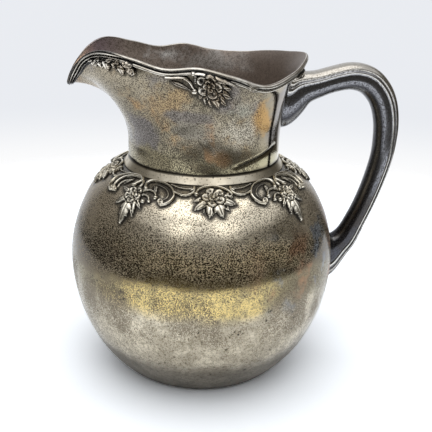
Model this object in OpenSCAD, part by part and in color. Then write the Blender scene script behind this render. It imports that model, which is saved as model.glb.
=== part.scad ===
// Globular metal ewer with a wavy rim, a pouring spout, a hollow bow handle and floral mounts.
// Millimetres, +Z up. The origin is the middle of the standing ring, on the table.
// The spout points along -X and the handle along +X.

/* [Body] */
// Radius of the body at its girth
body_r = 80; // [74:0.5:86]
// Height of the girth above the table
girth_z = 68; // [62:0.5:74]
// Radius of the body at the table
base_r = 52; // [46:0.5:58]
// Width of the flat standing ring
base_ring_w = 6; // [4:0.5:9]
// Thickness of the body sheet
body_wall = 1.4; // [1:0.1:2]
// Angle above the girth where the tighter shoulder curve begins
shoulder_turn = 30; // [26:1:34]
// Radius of the tighter shoulder curve
shoulder_r = 40; // [37:0.5:44]
// Thickness of the bottom plate
base_plate_t = 1.6; // [1:0.1:2.4]

/* [Collar and neck] */
// Outer radius of the neck at its waist
neck_r = 44.2; // [42:0.2:46]
// Thickness of the neck sheet
neck_wall = 1.4; // [1:0.1:1.8]
// Height of the straight part of the neck above the shoulder
neck_straight_h = 14; // [10:0.5:18]
// Thickness of the plain collar around the foot of the neck
collar_t = 2.8; // [2:0.1:3.6]
// Height of the collar
collar_h = 5.6; // [4:0.2:7]

/* [Rim and spout] */
// Middle height of the rim above the shoulder
rim_h = 60; // [55:0.5:65]
// Rise of the rim's waves above that height
wave_h = 7.6; // [5:0.2:9]
// Extra height of the rim's low stretch on the far side, which waves less
far_lift = 5; // [0:0.5:6]
// Outward flare of the rim at the handle
rim_flare = 13.4; // [11:0.2:16]
// Reach of the spout's tip beyond the neck
spout_out = 33; // [29:0.2:38]
// Drop of the curled lip at the spout's tip
lip_drop = 21; // [17:0.5:23]
// Angle through which the sheet flares at the sides of the rim
flare_turn = 74; // [68:1:80]
// Angle through which the sheet flares at the spout's tip
lip_turn = 96; // [90:1:98]
// Width of the threaded border below the rim, at its widest
border_w = 5; // [4:0.2:6]
// Thickness of the threaded border
border_t = 1.8; // [1.4:0.1:2.2]

/* [Handle] */
// Distance from the ewer's axis to the middle of the handle's bow
handle_reach = 109.5; // [104:0.5:116]
// Rise of the handle's top above the middle of its socket
handle_rise = 13; // [9:0.5:17]
// Drop of the middle of the handle's foot below the girth
handle_foot_drop = 3.5; // [1:0.5:7]
// Depth of the grip, seen from the side
handle_d = 14.4; // [12:0.2:17]
// Width of the grip, seen from behind
handle_w = 16; // [13:0.2:19]
// Height of the handle's socket on the neck
socket_h = 33; // [29:0.5:37]
// Distance from the rim's border to the socket
socket_gap = 4; // [3:0.2:7]
// Height of the handle's foot on the body
handle_foot_h = 33; // [29:0.5:36]
// Thickness of the stamped handle halves
handle_wall = 1.3; // [1:0.1:1.8]

/* [Floral mounts] */
// Half width of a shoulder rose with its leaves
rose_w = 10; // [8:0.2:11]
// Height of a shoulder rose with its leaves
rose_h = 20; // [17:0.5:23]
// Half width of a shoulder spray
spray_w = 11.6; // [10:0.2:12.4]
// Height of a shoulder spray
spray_h = 28; // [24:0.5:30]
// Depth of the garlands between them
garland_h = 16; // [13:0.5:18]
// Thickness of a scroll's stem
stem_w = 1.9; // [1.5:0.1:2.3]
// Height of the relief
relief_h = 1.9; // [1.4:0.1:2.4]
// Half width of a rim rose
rim_rose_w = 11; // [9:0.2:13]
// Height of a rim rose
rim_rose_h = 13; // [11:0.5:15]
// Half width of the leaves beside the spout
spout_leaf_w = 9; // [7:0.2:11]
// Half width of the leaves beside the handle
rear_leaf_w = 5; // [4:0.2:6]

/* [Hidden] */
// Gap that the solder fills under the handle and the rim's mounts
seat_gap = 0.1;
// Gap that the solder fills under the shoulder's mounts
mount_gap = 0.25;
// Clearance around the neck and the bottom plate
fit = 0.1;
// Overrun of a cut past the face that it opens
overrun = 1;

// Body outline
low_rise = girth_z / sqrt(1 - pow(base_r / body_r, 2));
turn_x = (body_r - shoulder_r) * cos(shoulder_turn);
turn_z = girth_z + (body_r - shoulder_r) * sin(shoulder_turn);
collar_in_r = neck_r + fit;
collar_r = collar_in_r + collar_t;
neck_bore_r = neck_r - neck_wall;
top_turn = acos((collar_r - turn_x) / shoulder_r);
seat_z = turn_z + shoulder_r * sin(top_turn);
arc_steps = 14;

function low_out(z, off) =
    (body_r + off) * sqrt(1 - pow((girth_z - z) / (low_rise + off), 2));
function low_arc(z0, off, steps) =
    [for (k = [0:steps]) let (z = z0 + (girth_z - z0) * sin(90 * k / steps))
        [low_out(z, off), z]];
function high_arc(off, last, steps) =
    concat(
        [for (k = [0:steps - 1]) let (b = shoulder_turn * k / steps)
            [(body_r + off) * cos(b), girth_z + (body_r + off) * sin(b)]],
        [for (k = [0:steps]) let (b = shoulder_turn + (last - shoulder_turn) * k / steps)
            [turn_x + (shoulder_r + off) * cos(b), turn_z + (shoulder_r + off) * sin(b)]]);
function flip(list) = [for (k = [len(list) - 1:-1:0]) list[k]];

// Whole body as a plain solid, used to seat the mounts and the handle on it
module body_core(off, sides, steps) {
    rotate_extrude($fn = sides)
        polygon(concat([[0, 0]], low_arc(0, off, steps), high_arc(off, top_turn, steps), [[0, seat_z]]));
}

// Smooth value between the stations of a table, level at both ends
function slope(x, y, k) =
    k == 0 || k == len(x) - 1 ? 0 : (y[k + 1] - y[k - 1]) / (x[k + 1] - x[k - 1]);
function between(x, y, a) =
    let (k = max([for (j = [0:len(x) - 2]) if (x[j] <= a || j == 0) j]),
         w = x[k + 1] - x[k],
         t = (a - x[k]) / w)
    y[k] * (1 + 2 * t) * pow(1 - t, 2) + slope(x, y, k) * w * t * pow(1 - t, 2)
        + y[k + 1] * t * t * (3 - 2 * t) + slope(x, y, k + 1) * w * t * t * (t - 1);

// Rim, told by the angle from the spout
rim_angles = [0, 8, 17, 28, 42, 60, 80, 100, 120, 140, 160, 180];
spout_shares = [1, 0.925, 0.77, 0.61, 0.31, 0.1, 0, 0, 0, 0, 0, 0];
flare_shares = [0, 0, 0, 0, 0.1, 0.25, 0.38, 0.47, 0.7, 0.8, 0.85, 1];
wave_shares = [1, 1, 1, 1, 0.62, 0.1, 0.24, -0.3, -0.98, -0.5, 0, 0.34];
lift_shares = [0, 0, 0, 0, 0, 0, 0, 0.06, 0.92, 0.62, 0.2, 0];
drop_shares = [1, 0.62, 0.19, 0, 0, 0, 0, 0, 0, 0, 0, 0];
// How far the sheet stands upright at the rim rather than flaring out to it
upright_shares = [0, 0.3, 0.72, 0.9, 0.85, 0.55, 0.2, 0, 0, 0, 0, 0];
border_shares = [0.7, 1, 0.96, 0.84, 0.8, 0.8, 0.76, 0.66, 0.64, 0.64, 0.64, 0.64];
waist_z = seat_z + neck_straight_h;
rim_z = seat_z + rim_h;
// Side of the ewer that angles above 0 stand for: 1 is the near side, -1 the far side of a mirrored piece
$side = 1;

function rim_r(a) = neck_r + rim_flare * between(rim_angles, flare_shares, abs(a))
    + spout_out * between(rim_angles, spout_shares, abs(a));
function rim_top(a) = rim_z + wave_h * between(rim_angles, wave_shares, abs(a))
    - lip_drop * between(rim_angles, drop_shares, abs(a))
    + (a * $side < 0 ? far_lift * between(rim_angles, lift_shares, abs(a)) : 0);
function turn_at(a) =
    flare_turn + (lip_turn - flare_turn) * between(rim_angles, spout_shares, abs(a));

// Point of the neck's outer face: s runs from -1 at the shoulder over 0 at the waist to 1 at the rim
function neck_pt(a, s) =
    let (q = turn_at(a),
         t = max(s, 0),
         up = between(rim_angles, upright_shares, abs(a)),
         flare = (1 - up) * (1 - cos(q * t)) / (1 - cos(q)) + up * (1 - cos(180 * t)) / 2,
         rise = (1 - up) * sin(q * t) / sin(min(q, 90)) + up * t,
         r = neck_r + (rim_r(a) - neck_r) * flare,
         z = s < 0 ? waist_z + (waist_z - seat_z) * s : waist_z + (rim_top(a) - waist_z) * rise)
    [-r * cos(a), -r * sin(a), z];
angle_step = 0.4;
run_step = 0.01;
function neck_out(a, s) =
    let (c = cross(neck_pt(a + angle_step, s) - neck_pt(a - angle_step, s),
                   neck_pt(a, min(s + run_step, 1)) - neck_pt(a, s - run_step)))
    s <= -1 ? [-cos(a), -sin(a), 0] : c / norm(c);
function neck_at(a, s, h) = neck_pt(a, s) + h * neck_out(a, s);
// Place on the neck at a distance below the rim, closed in on in a few rounds
function run_at(a, d, s, rounds) =
    rounds == 0 ? s : run_at(a, d, 1 - d * (1 - s) / norm(neck_pt(a, 1) - neck_pt(a, s)), rounds - 1);
function under_rim(a, d, h) = neck_at(a, d == 0 ? 1 : run_at(a, d, 0.8, 4), h);

// Angles of the neck's grid, closer together at the spout
half_angles = concat([for (a = [2.5:2.5:30]) a], [for (a = [36:6:174]) a]);
neck_angles = concat([0], half_angles, [180], [for (a = flip(half_angles)) -a]);
neck_runs = concat([-1], [for (k = [0:9]) k / 9]);

function loop_faces(rows, cols, closed) =
    [for (j = [0:rows - 1]) for (i = [0:cols - (closed ? 1 : 2)])
        let (u = (j + 1) % rows, v = (i + 1) % cols)
        each [[j * cols + i, u * cols + i, u * cols + v], [j * cols + i, u * cols + v, j * cols + v]]];

module neck_core(off) {
    n = len(neck_angles);
    m = len(neck_runs);
    polyhedron(
        points = concat(
            [for (s = neck_runs) for (a = neck_angles) neck_at(a, s, off)],
            [[0, 0, seat_z], [0, 0, rim_z]]),
        faces = concat(
            [for (j = [0:m - 2]) for (i = [0:n - 1]) let (v = (i + 1) % n)
                each [[j * n + i, (j + 1) * n + i, (j + 1) * n + v],
                      [j * n + i, (j + 1) * n + v, j * n + v]]],
            [for (i = [0:n - 1]) [m * n, i, (i + 1) % n]],
            [for (i = [0:n - 1]) [m * n + 1, (m - 1) * n + (i + 1) % n, (m - 1) * n + i]]));
}

// Handle, first from the socket to the bow and then from the bow to the foot
rim_back_z = rim_top(180);
socket_z = rim_back_z - border_w - socket_gap - socket_h / 2;
handle_top_z = socket_z + handle_rise;
foot_z = girth_z - handle_foot_drop;
foot_x = low_out(foot_z, 0);
upper_x_shares = [0.03, 0.18, 0.334, 0.487, 0.64, 0.78, 0.885];
upper_z_shares = [0, 0.47, 0.7, 0.93, 1.05, 0.88, 0.42];
lower_x_shares = [0.9, 0.985, 1.005, 0.98, 0.88, 0.742, 0.575, 0.388, 0.12];
lower_z_shares = [0.86, 0.767, 0.677, 0.57, 0.449, 0.327, 0.211, 0.103, 0.027];
socket_shares = [1, 0.3, 0.05, 0, 0, 0, 0, 0, 0, 0, 0, 0, 0, 0, 0, 0];
depth_shares = [1, 1, 1, 1.03, 1.1, 1.13, 1.1, 1.06, 1, 0.94, 0.87, 0.82, 0.8, 0.82, 0.9, 1];
foot_shares = [0, 0, 0, 0, 0, 0, 0, 0, 0, 0, 0, 0, 0, 0, 0.06, 0.28];
width_shares = [1.2, 1.1, 1.02, 1, 1, 1, 1, 1, 1, 1, 0.98, 0.96, 0.94, 0.92, 0.92, 0.94];
handle_stations = concat(
    [for (k = [0:len(upper_x_shares) - 1])
        [neck_r + (handle_reach - neck_r) * upper_x_shares[k],
         socket_z + handle_rise * upper_z_shares[k]]],
    [for (k = [0:len(lower_x_shares) - 1])
        [foot_x + (handle_reach - foot_x) * lower_x_shares[k],
         foot_z + (handle_top_z - foot_z) * lower_z_shares[k]]]);
handle_last = len(handle_stations) - 1;
function station(k) = handle_stations[min(max(k, 0), handle_last)];
function curve(p0, p1, p2, p3, t) =
    (2 * p1 + (p2 - p0) * t + (2 * p0 - 5 * p1 + 4 * p2 - p3) * t * t
        + (3 * p1 - p0 - 3 * p2 + p3) * pow(t, 3)) / 2;
function path(t) =
    let (k = min(floor(t), handle_last - 1))
    curve(station(k - 1), station(k), station(k + 1), station(k + 2), t - k);
function level(list, t) =
    let (k = min(floor(t), handle_last - 1))
    list[k] + (list[k + 1] - list[k]) * (t - k);
// Half of the grip's section: outer band, ridge, side and inner face
band_shares = [1, 0.97, 0.84, 0.7, 0.15, -0.45, -0.8, -0.95, -1];
side_shares = [0, 0.5, 0.78, 0.86, 1, 0.88, 0.64, 0.36, 0];
handle_step = 0.5;

// Distance from the axis to the neck and to the body behind the handle's ends
function neck_rad(a, z) =
    let (q = turn_at(a),
         p = asin(sin(min(q, 90)) * (z - waist_z) / (rim_top(a) - waist_z)))
    neck_r + (rim_r(a) - neck_r) * (1 - cos(p)) / (1 - cos(q));
function neck_seat(y, z) =
    let (a = 180 - asin(abs(y) / neck_rad(180, z)))
    sqrt(pow(neck_rad(a, z) + seat_gap, 2) - y * y);
function body_seat(y, z) =
    let (r = z < girth_z ? low_out(z, 0) : sqrt(pow(body_r, 2) - pow(z - girth_z, 2)))
    sqrt(pow(r + seat_gap, 2) - y * y);

function handle_side(t, k, wall) = (wall - handle_w * level(width_shares, t) / 2) * side_shares[k];
function socket_pt(k, wall) =
    let (y = handle_side(0, k, wall),
         z = socket_z + (socket_h / 2 - wall) * band_shares[k])
    [neck_seat(y, z), y, z];
function foot_pt(k, wall) =
    let (y = handle_side(handle_last, k, wall),
         z = foot_z - (handle_foot_h / 2 - wall) * band_shares[k])
    [body_seat(y, z), y, z];
function grip_pt(t, k, wall) =
    let (p = path(t),
         run = path(t + handle_step / 4) - path(t - handle_step / 4),
         d = (handle_d * level(depth_shares, t) + (socket_h - handle_d) * level(socket_shares, t)
              + (handle_foot_h - handle_d) * level(foot_shares, t)) / 2 - wall,
         n = [-run[1], run[0]] / norm(run) * d * band_shares[k])
    [p[0] + n[0], handle_side(t, k, wall), p[1] + n[1]];
grip_runs = [for (t = [1:handle_step:handle_last - handle_step]) t];
function handle_row(k, wall) =
    concat([socket_pt(k, wall)], [for (t = grip_runs) grip_pt(t, k, wall)], [foot_pt(k, wall)]);

// The near half lies at -Y, and m = -1 mirrors it to the far side
function far_axis(m) = [0, m < 0 ? 1 : 0, 0];
module handle_half(m) {
    $side = m;
    sides = len(band_shares);
    rows = 2 * sides;
    n = len(grip_runs) + 2;
    color("dimgray") mirror(far_axis(m)) polyhedron(
        points = concat(
            [for (k = [0:sides - 1]) each handle_row(k, handle_wall)],
            [for (k = [sides - 1:-1:0]) each handle_row(k, 0)]),
        faces = concat(
            loop_faces(rows, n, false),
            [for (k = [0:sides - 2]) let (u = rows - 1 - k)
                each [[k * n, u * n, (k + 1) * n], [u * n, (u - 1) * n, (k + 1) * n],
                      [k * n + n - 1, (k + 1) * n + n - 1, u * n + n - 1],
                      [u * n + n - 1, (k + 1) * n + n - 1, (u - 1) * n + n - 1]]]));
}

// Place on the shoulder: lateral distance from the angle a, distance d down from the collar
function down_turn(d) = top_turn - d / shoulder_r * 180 / PI;
function shoulder_rad(d) = turn_x + shoulder_r * cos(down_turn(d));
function on_shoulder(a, u, d, h) =
    let (b = down_turn(d),
         v = a + u / shoulder_rad(d) * 180 / PI,
         r = turn_x + (shoulder_r + h) * cos(b))
    [-r * cos(v), -r * sin(v), turn_z + (shoulder_r + h) * sin(b)];
function on_rim(a, u, d, h) = under_rim(a + u / rim_r(a) * 180 / PI, d, h);
function place(rim, a, m, u, d, h) = rim ? on_rim(a, m * u, d, h) : on_shoulder(a, m * u, d, h);

// A low boss of half width w and height h, as the cap of a ball that is sunk in the sheet
function ball(w, h) = (w * w + h * h) / (2 * h);
module boss(rim, a, m, p, sides) {
    translate(place(rim, a, m, p[0], p[1], p[3] - ball(p[2], p[3])))
        sphere(r = ball(p[2], p[3]), $fn = sides);
}
// A leaf, petal or stem through bosses given as lateral place, drop, half width and height
module strip(rim, a, m, list, sides = 8) {
    for (k = [0:len(list) - 2]) hull() {
        boss(rim, a, m, list[k], sides);
        boss(rim, a, m, list[k + 1], sides);
    }
}
// A rose of five petals round a bead
module rose(rim, a, m, u, d, r, h) {
    petal_shares = [0.3, 0.62];
    for (k = [0:4]) {
        c = [cos(72 * k + 90), -sin(72 * k + 90)] * r;
        strip(rim, a, m, [
            [u + c[0] * petal_shares[0], d + c[1] * petal_shares[0], r * 0.26, h * 0.7],
            [u + c[0] * petal_shares[1], d + c[1] * petal_shares[1], r * 0.38, h * 0.95]]);
    }
    hull() boss(rim, a, m, [u, d, r * 0.26, h * 1.2], 8);
}
// A pointed leaf from one place towards an angle, measured from straight down
module leaf(rim, a, m, u, d, long, wide, h, turn) {
    e = [sin(turn), cos(turn)] * long;
    strip(rim, a, m, [
        [u, d, wide * 0.35, h * 0.7],
        [u + e[0] * 0.45, d + e[1] * 0.45, wide / 2, h],
        [u + e[0], d + e[1], wide * 0.16, h * 0.45]], 6);
}
// A scrolled stem along an arc, with a ball at its far end
module scroll(rim, a, m, u, d, r, from, to, steps, w, h) {
    strip(rim, a, m, [for (k = [0:steps]) let (t = from + (to - from) * k / steps)
        [u + r[0] * cos(t), d - r[1] * sin(t), w / 2, h]], 6);
    hull() boss(rim, a, m, [u + r[0] * cos(to), d - r[1] * sin(to), w * 0.85, h * 1.15], 6);
}

module shoulder_rose(a) {
    r = rose_w * 0.52;
    d = rose_h * 0.46;
    color("silver") difference() {
        union() {
            rose(false, a, 1, 0, d, r, relief_h);
            for (t = [-78, -40, 0, 40, 78])
                leaf(false, a, 1, r * 0.62 * sin(t), d + r * 0.62 * cos(t),
                    rose_h - d - r * 0.7 - stem_w * 0.2, rose_w * 0.4, relief_h * 0.8, t);
            for (m = [-1, 1])
                scroll(false, a, m, 0, rose_h * 0.38, [rose_w - stem_w, rose_h * 0.31],
                    90, -8, 4, stem_w, relief_h * 0.75);
        }
        body_core(mount_gap, 48, 5);
    }
}

module shoulder_spray(a) {
    r = spray_w * 0.36;
    d = spray_h * 0.45;
    color("silver") difference() {
        union() {
            rose(false, a, 1, 0, d, r, relief_h);
            for (m = [-1, 1]) {
                leaf(false, a, m, r * 0.2, d + r * 0.95, spray_h - d - r * 1.2, spray_w * 0.34,
                    relief_h * 0.8, 8 + 8 * m);
                leaf(false, a, m, r * 0.9, d + r * 0.3, spray_w * 0.5, spray_w * 0.3, relief_h * 0.8, 62);
                leaf(false, a, m, r * 0.9, d - r * 0.4, spray_w * 0.48, spray_w * 0.26, relief_h * 0.7, 96);
                scroll(false, a, m, 0, spray_h * 0.29, [spray_w - stem_w, spray_h * 0.21],
                    90, -28, 4, stem_w, relief_h * 0.75);
            }
        }
        body_core(mount_gap, 48, 5);
    }
}

// Middle angles of the garlands lie between a rose and a spray
module shoulder_garland(a, m) {
    span = shoulder_rad(garland_h / 2) * PI / 4;
    inner = rose_w + stem_w;
    free = span - inner - spray_w - stem_w;
    swag_r = free * 0.24;
    c_r = free * 0.26;
    color("silver") difference() {
        union() {
            scroll(false, a, m, inner + swag_r, garland_h * 0.32, [swag_r, garland_h * 0.3],
                360, 185, 5, stem_w, relief_h * 0.7);
            scroll(false, a, m, inner + 2 * swag_r + c_r, garland_h * 0.52, [c_r, garland_h * 0.42],
                40, 300, 7, stem_w, relief_h * 0.8);
        }
        body_core(mount_gap, 48, 5);
    }
}

// Angles of the rim's mounts from the spout
spout_leaf_a = 32;
rim_rose_a = 85;
rear_leaf_a = 154;
function border_at(a) = border_w * between(rim_angles, border_shares, abs(a));

module rim_rose(m) {
    $side = m;
    r = rim_rose_w * 0.5;
    top = border_at(rim_rose_a);
    d = top + r + stem_w * 0.4;
    low = top + rim_rose_h;
    color("gray") mirror(far_axis(m)) difference() {
        union() {
            rose(true, rim_rose_a, 1, 0, d, r, relief_h);
            for (t = [-32, 8, 48])
                leaf(true, rim_rose_a, 1, r * 0.7 * sin(t), d + r * 0.7 * cos(t),
                    low - d - r * 0.6, rim_rose_w * 0.36, relief_h * 0.8, t);
            leaf(true, rim_rose_a, 1, r * 0.8, d + r * 0.1, rim_rose_w * 0.5, rim_rose_w * 0.32,
                relief_h * 0.8, 92);
            strip(true, rim_rose_a, 1, [
                [-r * 0.8, d + r * 0.5, stem_w / 2, relief_h * 0.8],
                [-rim_rose_w * 0.72, d - r * 0.1, stem_w * 0.6, relief_h * 0.8],
                [-rim_rose_w, d - r * 0.75, stem_w * 0.4, relief_h * 0.5]]);
        }
        neck_core(seat_gap);
    }
}

module spout_leaf(m) {
    $side = m;
    d = border_at(spout_leaf_a) + stem_w;
    color("gray") mirror(far_axis(m)) difference() {
        union() {
            strip(true, spout_leaf_a, 1, [for (k = [-2:2])
                [spout_leaf_w * 0.34 * k, d, spout_leaf_w * 0.2, relief_h * 0.8]], 6);
            for (k = [-2:2])
                leaf(true, spout_leaf_a, 1, spout_leaf_w * 0.34 * k, d,
                    spout_leaf_w * (0.62 - 0.06 * abs(k)), spout_leaf_w * 0.36,
                    relief_h * 0.85, 16 * k + 14);
        }
        neck_core(seat_gap);
    }
}

module rim_leaf(m) {
    $side = m;
    d = border_at(rear_leaf_a) + stem_w * 0.7;
    color("gray") mirror(far_axis(m)) difference() {
        union() {
            for (t = [-60, -20, 20, 60])
                leaf(true, rear_leaf_a, 1, rear_leaf_w * 0.3 * sin(t), d, rear_leaf_w,
                    rear_leaf_w * 0.42, relief_h * 0.8, t);
        }
        neck_core(seat_gap);
    }
}

module body_lower() {
    color("silver") rotate_extrude($fn = 180)
        polygon(concat(
            [[base_r - base_ring_w, 0]],
            low_arc(0, 0, arc_steps),
            flip(low_arc(body_wall, -body_wall, arc_steps)),
            [[base_r - base_ring_w, body_wall]]));
}

module body_upper() {
    last = asin((seat_z - body_wall - turn_z) / (shoulder_r - body_wall));
    color("silver") rotate_extrude($fn = 180)
        polygon(concat(
            high_arc(0, top_turn, arc_steps),
            [[neck_bore_r, seat_z], [neck_bore_r, seat_z - body_wall]],
            flip(high_arc(-body_wall, last, arc_steps))));
}

module base_disc() {
    color("gray") translate([0, 0, body_wall])
        cylinder(r = low_out(body_wall, -body_wall) - fit, h = base_plate_t, $fn = 180);
}

// The collar has a low fillet, a round band and a fine top thread
collar_band_shares = [0.16, 0.8];
module neck_collar() {
    z0 = collar_h * collar_band_shares[0];
    z1 = collar_h * collar_band_shares[1];
    color("lightgray") translate([0, 0, seat_z]) rotate_extrude($fn = 180)
        polygon(concat(
            [[collar_in_r, 0], [collar_r, 0]],
            [for (k = [-90:15:90])
                [collar_in_r + collar_t * (0.55 + 0.45 * cos(k)),
                 (z0 + z1) / 2 + (z1 - z0) / 2 * sin(k)]],
            [[collar_in_r + collar_t * 0.62, z1],
             [collar_in_r + collar_t * 0.62, collar_h],
             [collar_in_r, collar_h]]));
}

module neck() {
    n = len(neck_angles);
    color("silver") polyhedron(
        points = concat(
            [for (s = neck_runs) for (a = neck_angles) neck_at(a, s, 0)],
            [for (s = flip(neck_runs)) for (a = neck_angles) neck_at(a, s, -neck_wall)]),
        faces = loop_faces(2 * len(neck_runs), n, true));
}

// Section of the border: drop below the rim and height above the sheet
border_drop_shares = [0, 0, 0.14, 0.36, 0.5, 0.62, 0.82, 1, 1];
border_height_shares = [0, 0.85, 1, 0.88, 0.55, 0.76, 0.7, 0.3, 0];
module rim_moulding(m) {
    $side = m;
    list = concat([0], half_angles, [180]);
    rows = len(border_drop_shares);
    n = len(list);
    points = [for (k = [0:rows - 1]) for (a = list)
        let (p = under_rim(a, border_at(a) * border_drop_shares[k],
                           seat_gap + border_t * border_height_shares[k]))
        [p[0], p[1] * m, p[2]]];
    sides = concat(
        loop_faces(rows, n, false),
        [[for (k = [rows - 1:-1:0]) k * n], [for (k = [0:rows - 1]) k * n + n - 1]]);
    color("gray") polyhedron(
        points = points,
        faces = m > 0 ? [for (f = sides) flip(f)] : sides);
}

body_lower();
body_upper();
base_disc();
neck_collar();
neck();
handle_half(1);  // handle_half_near
handle_half(-1);  // handle_half_far
rim_moulding(1);  // rim_moulding_near
rim_moulding(-1);  // rim_moulding_far
rim_rose(1);  // rim_rose_near
rim_rose(-1);  // rim_rose_far
spout_leaf(1);  // spout_leaf_near
spout_leaf(-1);  // spout_leaf_far
rim_leaf(1);  // rim_leaf_near
rim_leaf(-1);  // rim_leaf_far
shoulder_rose(0);  // shoulder_rose_spout
shoulder_rose(90);  // shoulder_rose_near
shoulder_rose(180);  // shoulder_rose_handle
shoulder_rose(270);  // shoulder_rose_far
shoulder_spray(45);  // shoulder_spray_1
shoulder_spray(135);  // shoulder_spray_2
shoulder_spray(225);  // shoulder_spray_3
shoulder_spray(315);  // shoulder_spray_4
shoulder_garland(0, 1);  // shoulder_garland_1
shoulder_garland(90, -1);  // shoulder_garland_2
shoulder_garland(90, 1);  // shoulder_garland_3
shoulder_garland(180, -1);  // shoulder_garland_4
shoulder_garland(180, 1);  // shoulder_garland_5
shoulder_garland(270, -1);  // shoulder_garland_6
shoulder_garland(270, 1);  // shoulder_garland_7
shoulder_garland(0, -1);  // shoulder_garland_8
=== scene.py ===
import math

import bmesh
import bpy
import numpy as np
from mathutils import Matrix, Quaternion, Vector, kdtree


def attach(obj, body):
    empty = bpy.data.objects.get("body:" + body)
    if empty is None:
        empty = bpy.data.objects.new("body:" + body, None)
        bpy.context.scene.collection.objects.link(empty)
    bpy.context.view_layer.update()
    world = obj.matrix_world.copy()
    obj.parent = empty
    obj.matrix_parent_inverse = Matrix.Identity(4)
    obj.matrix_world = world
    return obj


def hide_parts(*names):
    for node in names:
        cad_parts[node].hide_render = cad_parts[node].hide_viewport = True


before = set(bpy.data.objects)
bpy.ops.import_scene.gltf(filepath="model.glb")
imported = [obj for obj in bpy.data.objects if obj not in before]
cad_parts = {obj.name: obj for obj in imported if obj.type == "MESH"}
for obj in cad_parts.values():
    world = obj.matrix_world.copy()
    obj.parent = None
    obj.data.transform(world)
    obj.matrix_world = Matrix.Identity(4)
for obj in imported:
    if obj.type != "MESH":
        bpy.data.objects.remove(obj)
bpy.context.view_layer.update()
MM = 0.001

# Sizes of the ewer in millimetres, as in the part's source
BODY_R, GIRTH_Z, BASE_R, RING_W, BODY_WALL = 80.0, 68.0, 52.0, 6.0, 1.4
TURN, SHOULDER_R = math.radians(30.0), 40.0
NECK_R, NECK_WALL, STRAIGHT_H, COLLAR_T, COLLAR_H = 44.2, 1.4, 14.0, 2.8, 5.6
RIM_H, WAVE_H, FAR_LIFT, RIM_FLARE, SPOUT_OUT, LIP_DROP = 60.0, 7.6, 5.0, 13.4, 33.0, 21.0
FLARE_TURN, LIP_TURN, BORDER_W = 74.0, 96.0, 5.0
HANDLE_REACH, HANDLE_RISE, FOOT_DROP, HANDLE_D, HANDLE_W = 109.5, 13.0, 3.5, 14.4, 16.0
SOCKET_H, SOCKET_GAP, FOOT_H = 33.0, 4.0, 33.0
FIT = 0.1
# Angles from the spout to the mounts of the rim and to a knot in its border
SPOUT_LEAF_A, RIM_ROSE_A, REAR_LEAF_A, KNOT_A = 32.5, 85.0, 154.0, 112.0

LOW_RISE = GIRTH_Z / math.sqrt(1 - (BASE_R / BODY_R) ** 2)
TURN_X = (BODY_R - SHOULDER_R) * math.cos(TURN)
TURN_Z = GIRTH_Z + (BODY_R - SHOULDER_R) * math.sin(TURN)
COLLAR_IN = NECK_R + FIT
COLLAR_R = COLLAR_IN + COLLAR_T
TOP_TURN = math.acos((COLLAR_R - TURN_X) / SHOULDER_R)
SEAT_Z = TURN_Z + SHOULDER_R * math.sin(TOP_TURN)
WAIST_Z = SEAT_Z + STRAIGHT_H
RIM_Z = SEAT_Z + RIM_H

# Shares of the rim's sizes at angles from the spout
RIM_A = np.array([0, 8, 17, 28, 42, 60, 80, 100, 120, 140, 160, 180], float)
SPOUT_S = np.array([1, 0.925, 0.77, 0.61, 0.31, 0.1, 0, 0, 0, 0, 0, 0])
FLARE_S = np.array([0, 0, 0, 0, 0.1, 0.25, 0.38, 0.47, 0.7, 0.8, 0.85, 1])
WAVE_S = np.array([1, 1, 1, 1, 0.62, 0.1, 0.24, -0.3, -0.98, -0.5, 0, 0.34])
LIFT_S = np.array([0, 0, 0, 0, 0, 0, 0, 0.06, 0.92, 0.62, 0.2, 0])
DROP_S = np.array([1, 0.62, 0.19, 0, 0, 0, 0, 0, 0, 0, 0, 0])
UPRIGHT_S = np.array([0, 0.3, 0.72, 0.9, 0.85, 0.55, 0.2, 0, 0, 0, 0, 0])
BORDER_S = np.array([0.7, 1, 0.98, 0.88, 0.72, 0.66, 0.64, 0.62, 0.62, 0.62, 0.62, 0.62])


def smooth(lo, hi, x):
    t = np.clip((np.asarray(x, float) - lo) / (hi - lo), 0, 1)
    return t * t * (3 - 2 * t)


def hermite(a, b, da, db, t):
    """From a to b as t goes from 0 to 1, with the slope da at a and db at b."""
    return (a * (1 + 2 * t) * (1 - t) ** 2 + da * t * (1 - t) ** 2
            + b * t * t * (3 - 2 * t) + db * t * t * (t - 1))


def between(y, a):
    """Smooth value of a rim table at the angle a from the spout, level at both ends."""
    a = np.abs((np.asarray(a, float) + 180) % 360 - 180)
    k = np.clip(np.searchsorted(RIM_A, a, side="right") - 1, 0, len(RIM_A) - 2)
    m = np.zeros(len(RIM_A))
    m[1:-1] = (y[2:] - y[:-2]) / (RIM_A[2:] - RIM_A[:-2])
    w = RIM_A[k + 1] - RIM_A[k]
    return hermite(y[k], y[k + 1], m[k] * w, m[k + 1] * w, (a - RIM_A[k]) / w)


def rim_r(a):
    return NECK_R + RIM_FLARE * between(FLARE_S, a) + SPOUT_OUT * between(SPOUT_S, a)


def rim_top(a):
    lift = np.where((np.asarray(a, float) + 180) % 360 < 180, FAR_LIFT * between(LIFT_S, a), 0)
    return RIM_Z + WAVE_H * between(WAVE_S, a) - LIP_DROP * between(DROP_S, a) + lift


def turn_at(a):
    return FLARE_TURN + (LIP_TURN - FLARE_TURN) * between(SPOUT_S, a)


def alike(*values):
    """Arrays of one shape."""
    return np.broadcast_arrays(*(np.asarray(v, float) for v in values))


def turned(a, r, z):
    """Points at the angle a from the spout, by radius and height."""
    t = np.radians(a)
    return np.stack(np.broadcast_arrays(-r * np.cos(t), -r * np.sin(t), z), -1)


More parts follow.
